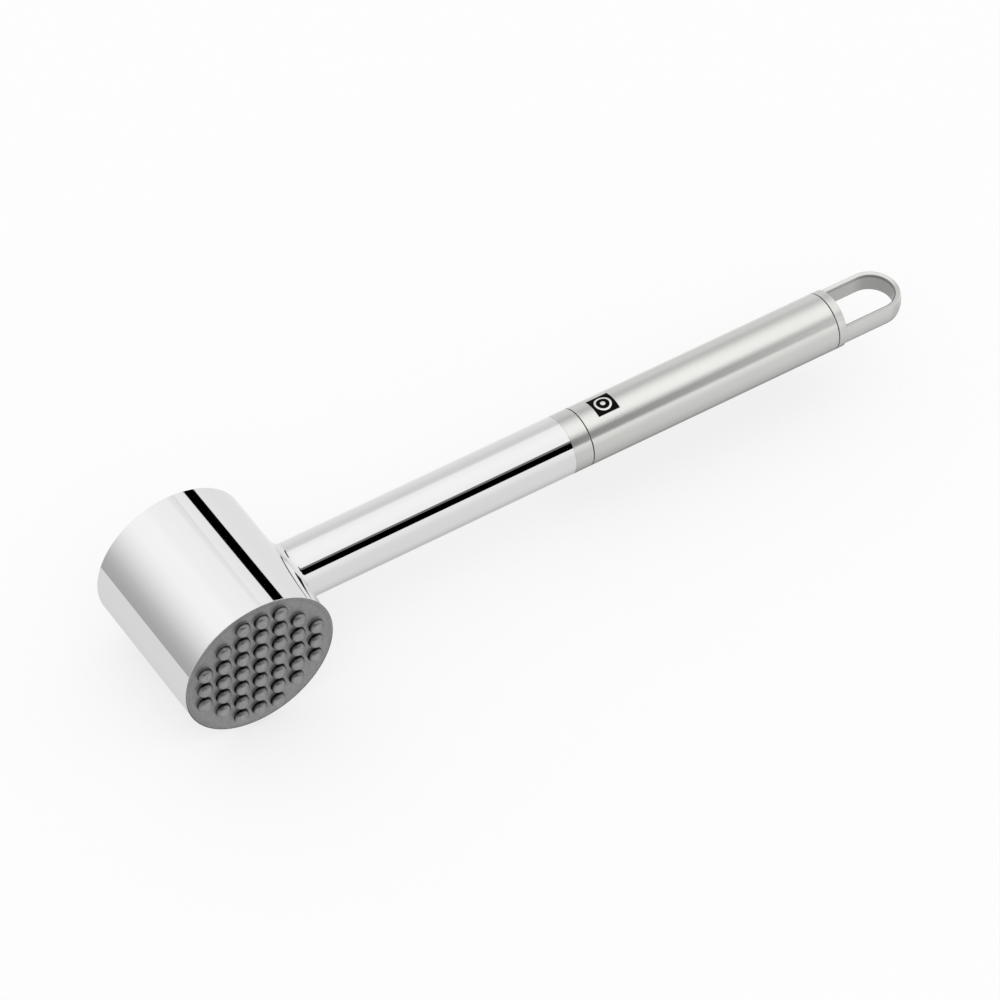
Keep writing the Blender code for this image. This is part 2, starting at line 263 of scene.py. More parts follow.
def on_saddle(radius, offset):
    """A ring about the handle that lies on a cylinder offset outwards from the head's round side."""

    def height(angle):
        across = radius * math.sin(angle)
        return math.sqrt((HEAD_RADIUS + offset) ** 2 - across**2)

    return radius, height


def level(radius, height):
    """A ring about the handle at one height."""
    return radius, lambda angle: height


def saddled(name, rings):
    """A closed tube about the handle from rings that go anticlockwise round its wall's section."""
    vertices, faces = [], []
    for index, (radius, height) in enumerate(rings):
        here = index * HANDLE_SEGMENTS
        following = (index + 1) % len(rings) * HANDLE_SEGMENTS
        for step in range(HANDLE_SEGMENTS):
            angle = 2 * math.pi * step / HANDLE_SEGMENTS
            spot = Vector((radius * math.cos(angle), radius * math.sin(angle), height(angle)))
            vertices.append(HANDLE_AXIS @ spot)
            after = (step + 1) % HANDLE_SEGMENTS
            faces.append((here + step, here + after, following + after, following + step))
    mesh = bpy.data.meshes.new(name)
    mesh.from_pydata(vertices, [], faces)
    mesh.shade_smooth()
    mesh.set_sharp_from_angle(angle=HANDLE_SHARP)
    return mesh


def combined(mesh, other, operation):
    """The Boolean of two meshes, as a new mesh."""
    base = bpy.data.objects.new("combined_base", mesh)
    tool = bpy.data.objects.new("combined_tool", other)
    for obj in (base, tool):
        bpy.context.scene.collection.objects.link(obj)
    boolean = base.modifiers.new("boolean", "BOOLEAN")
    boolean.operation = operation
    boolean.solver = "EXACT"
    boolean.object = tool
    graph = bpy.context.evaluated_depsgraph_get()
    result = bpy.data.meshes.new_from_object(base.evaluated_get(graph))
    for obj in (base, tool):
        bpy.data.objects.remove(obj)
    result.materials.clear()
    return result


# ---- the head ----


def steer_normals(mesh, steer):
    """Replaces a face corner's normal wherever steer(place, face normal) knows the exact one."""
    normals = [Vector(normal.vector) for normal in mesh.corner_normals]
    for face in mesh.polygons:
        for corner in face.loop_indices:
            spot = mesh.vertices[mesh.loops[corner].vertex_index].co
            exact = steer(spot, face.normal)
            if exact is not None:
                normals[corner] = exact.normalized()
    mesh.normals_split_custom_set(normals)


def round_side_normal(spot, facing):
    """The exact normal on the head's round side, where a Boolean leaves uneven ones."""
    radial = Vector((spot.x, 0, spot.z))
    if radial.length > HEAD_RADIUS - NEAR and abs(facing.y) < ALONG:
        return radial
    return None


def head_shell(polished, matt):
    """The round side of the head. Its rim round the studded disc shares the disc's matt finish."""
    outline = tube_outline(HEAD_RADIUS, SLEEVE_BORE, 0, HEAD_LENGTH, HEAD_EDGE, HEAD_EDGE)
    shell = revolve("head_shell", outline, HEAD_AXIS, HEAD_SEGMENTS)
    hole_end = 1.5 * HEAD_RADIUS
    hole = [(0, HEAD_RADIUS / 2, 0), (TUBE_BORE, HEAD_RADIUS / 2, CRISP)]
    hole += [(TUBE_BORE, hole_end, CRISP), (0, hole_end, 0)]
    cutter = revolve("side_hole", rounded(hole, True), HANDLE_AXIS, HANDLE_SEGMENTS, closed=False)
    mesh = combined(shell, cutter, "DIFFERENCE")
    mesh.name = "head_shell"
    mesh.shade_smooth()
    mesh.set_sharp_from_angle(angle=HEAD_SHARP)
    steer_normals(mesh, round_side_normal)
    add_piece("head_shell", mesh, [polished, matt], "head_sleeve")
    for face in mesh.polygons:
        if face.normal.y < -RIM_FACING:
            face.material_index = 1


def smooth_disc(polished):
    """The plain striking disc, with the blind hole for its screw in the back."""
    back = SMOOTH_DISC_BACK
    floor = back - SCREW_DEPTH
    corners = [
        (0, 0, 0),
        (DISC_RADIUS, 0, DISC_EDGE),
        (DISC_RADIUS, back, CRISP),
        (SCREW_BORE, back, CRISP),
        (SCREW_BORE, floor, CRISP),
        (0, floor, 0),
    ]
    mesh = revolve("smooth_disc", rounded(corners, True), HEAD_AXIS, HEAD_SEGMENTS, closed=False)
    add_piece("smooth_disc", mesh, [polished], "smooth_face")


def stud_places():
    """The centres of the studs about the head's axis, row by row."""
    cos, sin = math.cos(STUD_GRID_TURN), math.sin(STUD_GRID_TURN)
    for row in range(-STUD_GRID_HALF, STUD_GRID_HALF + 1):
        for column in range(-STUD_GRID_HALF, STUD_GRID_HALF + 1):
            if abs(row) + abs(column) <= STUD_GRID_STEPS:
                x, y = column * STUD_PITCH, -row * STUD_PITCH
                yield x * cos + y * sin, y * cos - x * sin


def stud_rings():
    """A stud's section from its top down to the disc, as (radius, height): a full dome with steep sides,
    a small fillet at its foot and a flat skirt round that."""
    rings = []
    for step in range(1, STUD_DOME_STEPS + 1):
        lean = math.pi / 2 * step / STUD_DOME_STEPS
        rise = max(math.cos(lean), 0) ** STUD_FULLNESS
        height = STUD_FILLET + (STUD_HEIGHT - STUD_FILLET) * rise
        rings.append((STUD_RADIUS * math.sin(lean) ** STUD_FULLNESS, height))
    for step in range(1, STUD_FILLET_STEPS + 1):
        lean = math.pi / 2 * step / STUD_FILLET_STEPS
        radius = STUD_RADIUS + STUD_FILLET * (1 - math.cos(lean))
        rings.append((radius, STUD_FILLET * (1 - math.sin(lean))))
    rings.append((STUD_RADIUS + STUD_FILLET + STUD_SKIRT, 0))
    return rings


def add_stud(bm, x, y):
    """One stud on the disc's outer plane, open at its skirt."""
    top = bm.verts.new((x, y, HEAD_LENGTH + STUD_HEIGHT))
    upper = [top] * STUD_SEGMENTS
    for radius, height in stud_rings():
        lower = []
        for step in range(STUD_SEGMENTS):
            angle = 2 * math.pi * step / STUD_SEGMENTS
            across, along = radius * math.cos(angle), radius * math.sin(angle)
            lower.append(bm.verts.new((x + across, y + along, HEAD_LENGTH + height)))
        for step in range(STUD_SEGMENTS):
            after = (step + 1) % STUD_SEGMENTS
            corners = (upper[step], lower[step], lower[after], upper[after])
            bm.faces.new(tuple(dict.fromkeys(corners)))
        upper = lower


def disc_shell():
    """The disc's rim and back, open where the studs stand."""
    back = STUDDED_DISC_BACK
    floor = back + SCREW_DEPTH
    corners = [
        (0, floor, 0),
        (SCREW_BORE, floor, CRISP),
        (SCREW_BORE, back, CRISP),
        (DISC_RADIUS, back, CRISP),
        (DISC_RADIUS, HEAD_LENGTH, DISC_EDGE),
        (DISC_RADIUS - DISC_RIM, HEAD_LENGTH, 0),
    ]
    local = Matrix.Identity(4)
    return revolve("disc_shell", rounded(corners, True), local, HEAD_SEGMENTS, closed=False)


def studded_disc(matt):
    """The studs stand on the disc's plane, and the plane between them is filled."""
    bm = bmesh.new()
    bm.from_mesh(disc_shell())
    for x, y in stud_places():
        add_stud(bm, x, y)
    loops = [edge for edge in bm.edges if edge.is_boundary]
    bmesh.ops.triangle_fill(bm, edges=loops, use_beauty=True, normal=(0, 0, 1))
    bmesh.ops.recalc_face_normals(bm, faces=bm.faces)
    bmesh.ops.transform(bm, matrix=HEAD_AXIS, verts=bm.verts)
    mesh = bpy.data.meshes.new("studded_disc")
    bm.to_mesh(mesh)
    bm.free()
    mesh.shade_smooth()
    mesh.set_sharp_from_angle(angle=DISC_SHARP)
    add_piece("studded_disc", mesh, [matt], "studded_face")


# ---- the handle ----


def fillet_end_normal(spot, facing):
    """The exact normals where the fillet runs out into the neck and into the head's round side."""
    around = Vector((0, spot.y - HANDLE_Y, spot.z))
    radial = Vector((spot.x, 0, spot.z)).normalized()
    if abs(around.length - HANDLE_RADIUS) < NEAR and abs(facing.x) < ALONG:
        return around
    if around.length > RING_RADIUS - NEAR and facing.dot(radial) > TOWARDS:
        return radial
    return None


def neck_fillet_ring(polished):
    """The ring that sits on the head's round side, with a concave fillet up to the neck."""
    drop = RING_HEIGHT - HAIR_SEAM
    flare = RING_RADIUS - HANDLE_RADIUS
    middle = (TUBE_BORE + RING_RADIUS) / 2
    rings = [on_saddle(TUBE_BORE, HAIR_SEAM), on_saddle(middle, HAIR_SEAM)]
    for step in range(FILLET_STEPS + 1):
        lean = step / FILLET_STEPS * math.pi / 2
        radius = HANDLE_RADIUS + flare * (1 - math.sin(lean))
        rings.append(on_saddle(radius, HAIR_SEAM + drop * (1 - math.cos(lean))))
    rings.append(on_saddle(TUBE_BORE, RING_HEIGHT))
    mesh = saddled("neck_fillet_ring", rings)
    steer_normals(mesh, fillet_end_normal)
    add_piece("neck_fillet_ring", mesh, [polished], "neck_saddle_ring")


def neck(polished):
    """The polished tube, from the saddle ring to the ferrule."""
    foot = RING_HEIGHT + HAIR_SEAM
    rings = [
        on_saddle(TUBE_BORE, foot),
        on_saddle(HANDLE_RADIUS, foot),
        level(HANDLE_RADIUS, NECK_END - CRISP),
        level(HANDLE_RADIUS - CRISP, NECK_END),
        level(TUBE_BORE, NECK_END),
    ]
    add_piece("neck", saddled("neck", rings), [polished], "neck_tube")


def ferrule_ring(satin):
    """The short satin ring, with a spigot each way into the neck and the grip."""
    corners = [
        (ROD_BORE, FERRULE_START - FERRULE_SPIGOT, CRISP),
        (SPIGOT_RADIUS, FERRULE_START - FERRULE_SPIGOT, CRISP),
        (SPIGOT_RADIUS, FERRULE_START, CRISP),
        (HANDLE_RADIUS, FERRULE_START, CRISP),
        (HANDLE_RADIUS, FERRULE_END, SEAM_EDGE),
        (SPIGOT_RADIUS, FERRULE_END, CRISP),
        (SPIGOT_RADIUS, ferrule_high.x, CRISP),
        (ROD_BORE, ferrule_high.x, CRISP),
    ]
    mesh = revolve("ferrule_ring", rounded(corners), HANDLE_AXIS, HANDLE_SEGMENTS)
    add_piece("ferrule_ring", mesh, [satin], "ferrule")


def seam_seal(name, low, high, rubber, cad_node):
    """A thin dark ring. The visible gap is a little narrower than the CAD ring."""
    outline = tube_outline(SEAL_RADIUS, TUBE_BORE, low + SEAM_CLOSE, high - SEAM_CLOSE, CRISP, CRISP)
    mesh = revolve(name, outline, HANDLE_AXIS, HANDLE_SEGMENTS)
    add_piece(name, mesh, [rubber], cad_node)


def grip(marked_satin):
    """The satin tube between the two dark seams."""
    ends = (GRIP_START, GRIP_END, SEAM_EDGE, GRIP_TAIL_EDGE)
    outline = tube_outline(HANDLE_RADIUS, TUBE_BORE, *ends)
    mesh = revolve("grip", outline, HANDLE_AXIS, HANDLE_SEGMENTS)
    add_piece("grip", mesh, [marked_satin], "handle_tube")


# ---- the hanging loop ----


def collar_mesh():
    """The turned start of the loop: a spigot with a blind hole for the tie rod, and the collar."""
    spigot_start = loop_low.x
    corners = [
        (0, ROD_HOLE_END, 0),
        (ROD_BORE, ROD_HOLE_END, CRISP),
        (ROD_BORE, spigot_start, CRISP),
        (SPIGOT_RADIUS, spigot_start, CRISP),
        (SPIGOT_RADIUS, COLLAR_START, CRISP),
        (HANDLE_RADIUS, COLLAR_START, SEAM_EDGE),
        (HANDLE_RADIUS, COLLAR_END, COLLAR_EDGE),
        (0, COLLAR_END, 0),
    ]
    return revolve("collar", rounded(corners, True), HANDLE_AXIS, HANDLE_SEGMENTS, closed=False)


def strap_section():
    """The strap's section as (distance from the loop's middle, height): flat above, below and inside,
    and round outside like the bar that it was milled from."""
    corners = [(STRAP_INNER, -STRAP_HALF, STRAP_EDGE)]
    for step in range(STRAP_CROWN_STEPS + 1):
        height = STRAP_HALF * (2 * step / STRAP_CROWN_STEPS - 1)
        at_corner = step in (0, STRAP_CROWN_STEPS)
        outside = math.sqrt(STRAP_OUTER**2 - height**2)
        corners.append((outside, height, STRAP_EDGE if at_corner else 0))
    corners.append((STRAP_INNER, STRAP_HALF, STRAP_EDGE))
    return [point[:2] for point in rounded(corners)]


def strap_mesh():
    """Sweeps the section out along one side, round the tail and back along the other side."""
    stations = [(COLLAR_END - STRAP_ROOT, math.pi / 2)]
    for step in range(LOOP_STEPS + 1):
        stations.append((LOOP_CENTRE, math.pi * (0.5 - step / LOOP_STEPS)))
    stations.append((COLLAR_END - STRAP_ROOT, -math.pi / 2))
    bm = bmesh.new()
    rings = []
    for along, lean in stations:
        ring = []
        for out, height in strap_section():
            spot = (along + out * math.cos(lean), HANDLE_Y + out * math.sin(lean), height)
            ring.append(bm.verts.new(spot))
        rings.append(ring)
    for ring, following in zip(rings, rings[1:]):
        for step in range(len(ring)):
            after = (step + 1) % len(ring)
            bm.faces.new((ring[step], ring[after], following[after], following[step]))
    bm.faces.new(rings[0])
    bm.faces.new(rings[-1])
    bmesh.ops.recalc_face_normals(bm, faces=bm.faces)
    mesh = bpy.data.meshes.new("strap")
    bm.to_mesh(mesh)
    bm.free()
    return mesh


def hanging_loop(satin):
    """The collar and the strap as one piece."""
    mesh = combined(collar_mesh(), strap_mesh(), "UNION")
    mesh.name = "hanging_loop"
    mesh.shade_smooth()
    mesh.set_sharp_from_angle(angle=HANDLE_SHARP)
    obj = add_piece("hanging_loop", mesh, [satin], "tail_loop")
    modifier = obj.modifiers.new("even_normals", "WEIGHTED_NORMAL")
    modifier.keep_sharp = True
    modifier.weight = 100


# ---- shader building ----


class Graph:
    """A node tree under construction. Each call adds one node and returns the output that matters."""

    def __init__(self, tree):
        self.tree = tree
        tree.nodes.clear()

    def add(self, kind, inputs=None, output=0, **settings):
        node = self.tree.nodes.new(kind)
        for name, value in settings.items():
            setattr(node, name, value)
        for key, value in (inputs or {}).items():
            if isinstance(value, bpy.types.NodeSocket):
                self.tree.links.new(value, node.inputs[key])
            else:
                node.inputs[key].default_value = value
        return node.outputs[output] if node.outputs else node

    def math(self, operation, *values):
        return self.add("ShaderNodeMath", dict(enumerate(values)), operation=operation)

    def plus(self, first, *others):
        for other in others:
            first = self.math("ADD", first, other)
        return first

    def times(self, first, *others):
        for other in others:
            first = self.math("MULTIPLY", first, other)
        return first

    def minus(self, first, second):
        return self.math("SUBTRACT", first, second)

    def opposite(self, value):
        return self.minus(1.0, value)

    def hypotenuse(self, first, second):
        return self.math("SQRT", self.plus(self.times(first, first), self.times(second, second)))

    def degrees(self, across, along):
        """The angle of a direction, from along towards across."""
        return self.times(self.math("ARCTAN2", across, along), math.degrees(1))

    def mix(self, share, first, second):
        return self.add("ShaderNodeMix", {0: share, 2: first, 3: second}, data_type="FLOAT")

    def rise(self, value, low, high):
        """0 below low, 1 above high, smooth in between."""
        spread = {"Value": value, "From Min": low, "From Max": high}
        return self.add("ShaderNodeMapRange", spread, interpolation_type="SMOOTHSTEP")

    def between(self, value, low, high, blur):
        above = self.rise(value, low - blur, low + blur)
        return self.times(above, self.opposite(self.rise(value, high - blur, high + blur)))

    def split(self, vector):
        return self.add("ShaderNodeSeparateXYZ", {0: vector}).node.outputs

    def join(self, x, y, z):
        return self.add("ShaderNodeCombineXYZ", {0: x, 1: y, 2: z})

    def profile(self, value, stops):
        """Reads a tone from (value, tone) stops, with straight lines between them."""
        low, high = stops[0][0], stops[-1][0]
        share = self.add("ShaderNodeMapRange", {"Value": value, "From Min": low, "From Max": high})
        output = self.add("ShaderNodeValToRGB", {"Fac": share})
        elements = output.node.color_ramp.elements
        while len(elements) < len(stops):
            elements.new(0.5)
        for element, stop in zip(elements, stops):
            element.position = (stop[0] - low) / (high - low)
        for element, stop in zip(elements, stops):
            element.color = (stop[1], stop[1], stop[1], 1)
        return output

    def noise(self, vector, per_metre, detail=2.0, roughness=0.5):
        """Noise between 0 and 1 whose features are about one over per_metre apart."""
        settings = {"Vector": vector, "Scale": per_metre, "Detail": detail, "Roughness": roughness}
        return self.add("ShaderNodeTexNoise", settings)

    def position(self):
        return self.add("ShaderNodeNewGeometry", output="Position")

    def normal(self):
        return self.add("ShaderNodeNewGeometry", output="Normal")

    def bump(self, height, distance, strength=1.0):
        settings = {"Height": height, "Distance": distance, "Strength": strength}
        return self.add("ShaderNodeBump", settings)

    def tinted(self, tone, tint):
        scale = {0: self.join(tone, tone, tone), 1: tint}
        return self.add("ShaderNodeVectorMath", scale, operation="MULTIPLY")


def new_material(name):
    material = bpy.data.materials.new(name)
    material.use_nodes = True
    return material, Graph(material.node_tree)


def surface(graph, **inputs):
    """The material's shader. Inputs are the Principled BSDF's, with underscores for spaces."""
    named = {key.replace("_", " "): value for key, value in inputs.items()}
    shader = graph.add("ShaderNodeBsdfPrincipled", named)
    graph.add("ShaderNodeOutputMaterial", {"Surface": shader})


def stretched(graph, x, y, z):
    """The position with its axes scaled, for streaks along the axes with small factors."""
    scale = {0: graph.position(), 1: (x, y, z)}
    return graph.add("ShaderNodeVectorMath", scale, operation="MULTIPLY")


# ---- materials ----

WHITE = (1.0, 1.0, 1.0)
WARM_WHITE = (1.0, 1.0, 0.97)
COOL_WHITE = (0.97, 0.985, 1.0)

# How far the wear on the polished head reaches in from its two end edges.
WORN_WIDTH = 0.9 * MM


def polished_steel():
    """Mirror polish with very faint lines round the head, slow cloudiness and worn end edges."""
    material, g = new_material("polished_steel")
    y = g.split(g.position())[1]
    middle = sleeve_high.y - HEAD_LENGTH / 2
    from_middle = g.math("ABSOLUTE", g.minus(y, middle))
    worn = g.rise(from_middle, HEAD_LENGTH / 2 - WORN_WIDTH, HEAD_LENGTH / 2)
    clouds = g.noise(g.position(), 45, detail=3)
    lines = g.noise(stretched(g, 0.05, 1, 0.05), 2600, detail=3, roughness=0.7)
    roughness = g.plus(0.015, g.times(clouds, 0.02), g.times(lines, 0.01), g.times(worn, 0.06))
    tone = g.minus(0.945, g.times(clouds, 0.02))
    surface(
        g,
        Base_Color=g.tinted(tone, WHITE),
        Metallic=1.0,
        Roughness=roughness,
        Normal=g.bump(lines, 0.001 * MM, 0.02),
    )
    return material


# How much darker the matt steel gets: painted shade in the corners beside the studs and on their steep
# feet, a little darker all over the head's rim, and painted shade low on its outer edge; and how far the
# corners and that edge reach.
CORNER_SHADE = 0.92
FOOT_SHADE = 0.5
RIM_SHADE = 0.07
LOW_EDGE_SHADE = 0.85
CORNER_REACH = 3.5 * MM
LOW_EDGE_WIDTH = 0.6 * MM


def stud_shade(g):
    """The painted shade round the studs, as the light the matt steel keeps: dark corners between them, dark
    feet.
    """
    outward = g.times(g.split(g.normal())[1], -1.0)
    foot = g.opposite(g.rise(outward, 0.08, 0.4))
    steep = g.opposite(g.rise(outward, 0.5, 0.88))
    reach = {"Distance": CORNER_REACH}
    open_sky = g.add("ShaderNodeAmbientOcclusion", reach, output="AO", samples=8)
    corners = g.times(g.opposite(g.rise(open_sky, 0.42, 0.8)), steep)
    lit = g.opposite(g.times(corners, CORNER_SHADE))
    return g.times(lit, g.opposite(g.times(foot, FOOT_SHADE)))


def rim_shade(g, x, z):
    """How dark the matt steel is on the head's rim: a little darker all round, with painted shade low on
    its outer edge.
    """
    from_axis = g.hypotenuse(x, z)
    rim = g.between(from_axis, SLEEVE_BORE, HEAD_RADIUS + MM, 0.2 * MM)
    edge = g.rise(from_axis, HEAD_RADIUS - LOW_EDGE_WIDTH, HEAD_RADIUS)
    low_edge = g.times(edge, g.rise(z, 2 * MM, -6 * MM))
    lit = g.opposite(g.times(rim, RIM_SHADE))
    return g.times(lit, g.opposite(g.times(low_edge, LOW_EDGE_SHADE)))


def matt_steel():
    """Blasted grey steel: fine grain, slow cloudiness, tops that use has polished, and painted shade by the
    studs and low on the rim.
    """
    material, g = new_material("matt_steel")
    x, y, z = g.split(g.position())
    height = g.minus(sleeve_high.y - HEAD_LENGTH, y)
    tops = g.rise(height, 0.7 * STUD_HEIGHT, STUD_HEIGHT)
    grain = g.noise(g.position(), 1700, detail=3, roughness=0.7)
    clouds = g.noise(g.position(), 700, detail=3, roughness=0.6)
    tone = g.plus(0.14, g.times(grain, 0.32), g.times(clouds, 0.16), g.times(tops, 0.03))
    tone = g.times(tone, stud_shade(g), rim_shade(g, x, z))
    surface(
        g,
        Base_Color=g.tinted(tone, WHITE),
        Metallic=1.0,
        Roughness=g.minus(0.46, g.times(tops, 0.08)),
        Normal=g.bump(grain, 0.02 * MM, 0.35),
    )
    return material


# Painted light, shade and reflections on the satin handle: how bright it is by the angle round it, where 0
# looks up and 90 towards the studded face.
SATIN_ROUND_HANDLE = [
    (-180, 0.5),
    (-90, 0.8),
    (-48, 1.0),
    (-40, 0.88),
    (-35, 0.80),
    (-30, 0.768),
    (-18, 0.785),
    (-10, 0.695),
    (-4, 0.695),
    (0, 0.72),
    (5, 0.81),
    (10, 0.91),
    (16, 0.955),
    (22, 0.97),
    (28, 0.95),
    (32, 0.88),
    (36, 0.80),
    (40, 0.84),
    (44, 0.95),
    (50, 0.89),
    (55, 0.89),
    (60, 0.825),
    (66, 0.77),
    (80, 0.74),
    (90, 0.69),
    (100, 0.63),
    (105, 0.54),
    (110, 0.42),
    (116, 0.28),
    (124, 0.22),
    (180, 0.22),
]

# Painted light and shade on the satin loop: how bright it is, by how far its surface looks up (the normal's
# Z).
SATIN_BY_FACING = [
    (-1.0, 0.3),
    (-0.35, 0.4),
    (-0.1, 0.66),
    (0.1, 0.70),
    (0.6, 0.78),
    (0.9, 0.97),
    (1.0, 1.0),
]

# Painted light on the loop's upper flat, from its near side to its far side, across the handle.
LOOP_FLAT = [
    (-10 * MM, 0.66),
    (-2.5 * MM, 0.64),
    (2 * MM, 0.92),
    (10 * MM, 0.92),
]

# Painted shade on the rounded edge between that flat and the slot, from the near side to the far side. Its
# middle and half its width are measured outwards from the slot's wall.
SLOT_EDGE_MIDDLE = 0.16 * MM
SLOT_EDGE_HALF = 0.13 * MM
SLOT_EDGE = [
    (-10 * MM, 0.14),
    (-5 * MM, 0.16),
    (0.0, 0.3),
    (5 * MM, 0.48),
    (10 * MM, 0.6),
]

# Painted shade on the slot's walls, by the distance past the bend's centre, and how much darker they get
# just under that edge, between two heights.
LIP_LOW = 1.9 * MM
LIP_HIGH = 2.6 * MM
SLOT_WALL = [
    (-1.6 * MM, 0.61),
    (1.9 * MM, 0.44),
    (9.4 * MM, 0.4),
]
SLOT_LIP = [
    (-3.6 * MM, 0.27),
    (4.4 * MM, 0.55),
]

# A painted highlight on the outside of the bend, by the angle round it, and how bright it is against the
# rest.
BEND_HIGHLIGHT = [
    (-65, 0.0),
    (-42, 1.0),
    (-25, 0.4),
    (-5, 0.0),
]
HIGHLIGHT_GAIN = 0.45

# How the satin handle's painted light fades towards its tail, and how much of its light is scattered
# evenly, by the distance past the neck's end.
TAIL_FADE = [
    (44 * MM, 1.0),
    (89 * MM, 0.94),
]
SATIN_SCATTER = [
    (0.0, 0.19),
    (3 * MM, 0.23),
    (29 * MM, 0.29),
    (59 * MM, 0.39),
    (89 * MM, 0.53),
    (99 * MM, 0.57),
]
COLLAR_SCATTER = 0.85
STRAP_SCATTER = 0.5

# How soft the borders between the strap's painted light and shade are, and the border between the collar
# and the strap.
PAINTED_TONE_BLUR = 0.03 * MM
COLLAR_BLUR = 0.05 * MM

# How much the brushed steel's reflections stretch along the handle, and how dark the mark's ink is.
BRUSHED_STRETCH = 0.85
INK_TONE = 0.005


def brushed(g, tone, tint, scatter):
    """The Principled inputs of satin steel, with hairlines that go round the handle."""
    fine = g.noise(stretched(g, 1, 0.03, 0.03), 5200, detail=3, roughness=0.8)
    broad = g.noise(stretched(g, 1, 0.03, 0.03), 1300, detail=2)
    hairlines = g.plus(g.times(fine, 0.8), g.times(broad, 0.2))
    clouds = g.noise(g.position(), 60, detail=2)
    steel = g.plus(0.86, g.times(hairlines, 0.06), g.times(clouds, 0.04))
    return {
        "Base_Color": g.tinted(g.times(steel, tone), tint),
        "Metallic": g.opposite(scatter),
        "Roughness": g.plus(0.21, g.times(hairlines, 0.08)),
        "Anisotropic": BRUSHED_STRETCH,
        "Tangent": g.join(1.0, 0.0, 0.0),
        "Normal": g.bump(hairlines, 0.01 * MM, 0.22),
    }


def past_neck(g):
    """The distance past the neck's end, along the handle."""
    return g.minus(g.split(g.position())[0], NECK_END)


def round_handle(g):
    """The satin handle's painted light and shade, which follow the angle round its axis."""
    normal = g.split(g.normal())
    towards_studs = g.times(normal[1], -1.0)
    angle = g.degrees(towards_studs, normal[2])
    fade = g.profile(past_neck(g), TAIL_FADE)
    return g.times(g.profile(angle, SATIN_ROUND_HANDLE), fade)


def handle_scatter(g):
    """The scattered share of the satin handle's light."""
    return g.profile(past_neck(g), SATIN_SCATTER)


def satin_steel():
    """Brushed round the handle, so reflections smear along it, with painted light and shade round it."""
    material, g = new_material("satin_steel")
    surface(g, **brushed(g, round_handle(g), WARM_WHITE, handle_scatter(g)))
    return material


def strap_outside(g, sideways, past_bend):
    """The strap's painted light and shade outside its slot: its flat, its round side and the bend's
    highlight.
    """
    upward = g.split(g.normal())[2]
    flat = g.mix(g.rise(upward, 0.85, 0.97), 1.0, g.profile(sideways, LOOP_FLAT))
    on_side = g.opposite(g.rise(upward, 0.6, 0.9))
    highlight = g.profile(g.degrees(sideways, past_bend), BEND_HIGHLIGHT)
    bend = g.plus(1.0, g.times(highlight, on_side, HIGHLIGHT_GAIN))
    return g.times(g.profile(upward, SATIN_BY_FACING), flat, bend)


def strap_tone(g, x, y, z):
    """The strap's painted light and shade: outside, on the slot's rounded edge, and on the walls inside the
    slot.
    """
    along = g.minus(x, LOOP_CENTRE)
    past_bend = g.math("MAXIMUM", along, 0.0)
    sideways = g.minus(y, HANDLE_Y)
    from_wall = g.minus(g.hypotenuse(past_bend, sideways), STRAP_INNER)
    lip = g.times(g.rise(z, LIP_LOW, LIP_HIGH), g.profile(along, SLOT_LIP))
    wall = g.times(g.profile(along, SLOT_WALL), g.opposite(lip))
    on_wall = g.opposite(g.rise(from_wall, 0.0, PAINTED_TONE_BLUR))
    from_edge = g.minus(from_wall, SLOT_EDGE_MIDDLE)
    on_edge = g.between(from_edge, -SLOT_EDGE_HALF, SLOT_EDGE_HALF, PAINTED_TONE_BLUR)
    tone = g.mix(on_wall, strap_outside(g, sideways, past_bend), wall)
    return g.mix(on_edge, tone, g.profile(sideways, SLOT_EDGE))


def loop_satin_steel():
    """The loop's satin: turned round the collar, with painted light and shade, and painted shade on the
    walls inside the slot.
    """
    material, g = new_material("loop_satin_steel")
    x, y, z = g.split(g.position())
    turned = g.noise(stretched(g, 1, 0.02, 0.02), 3400, detail=2, roughness=0.7)
    # The collar takes the handle's painted light and shade, with its turning marks.
    collar = g.times(round_handle(g), g.plus(0.72, g.times(turned, 0.3)))
    on_strap = g.rise(x, COLLAR_END - COLLAR_BLUR, COLLAR_END + COLLAR_BLUR)
    scatter = g.mix(on_strap, COLLAR_SCATTER, STRAP_SCATTER)
    tone = g.mix(on_strap, collar, strap_tone(g, x, y, z))
    surface(g, **brushed(g, tone, WARM_WHITE, scatter))
    return material


def mark_masks(g):
    """Where the printed mark is, and where its light ring and dot are. Both are 0 to 1."""
    x, y, z = g.split(g.position())
    along = g.minus(x, MARK_X)
    turn = g.minus(g.math("ARCTAN2", g.minus(HANDLE_Y, y), z), MARK_TURN)
    around = g.times(turn, HANDLE_RADIUS)
    half = MARK_SIDE / 2
    inside = [g.between(offset, -half, half, MARK_BLUR) for offset in (along, around)]
    radius = g.hypotenuse(along, around)
    ring = g.between(radius, MARK_RING_INNER, MARK_RING_OUTER, MARK_BLUR)
    dot = g.opposite(g.rise(radius, MARK_DOT, MARK_DOT + MARK_BLUR))
    return g.times(*inside), g.math("MAXIMUM", ring, dot)


def marked_satin_steel():
    """The satin finish of the grip with its painted light and shade, and a plain black square on top of it.
    """
    material, g = new_material("marked_satin_steel")
    square, light = mark_masks(g)
    ink = g.times(square, g.opposite(light))
    steel = g.opposite(ink)
    tone = g.mix(g.times(square, light), round_handle(g), 1.0)
    inputs = brushed(g, g.mix(ink, tone, INK_TONE), WARM_WHITE, handle_scatter(g))
    inputs["Metallic"] = g.times(inputs["Metallic"], steel)
    inputs["Roughness"] = g.mix(ink, inputs["Roughness"], 0.5)
    inputs["Anisotropic"] = g.times(steel, BRUSHED_STRETCH)
    inputs["Specular_IOR_Level"] = g.mix(ink, 0.5, 0.02)
    surface(g, **inputs)
    return material


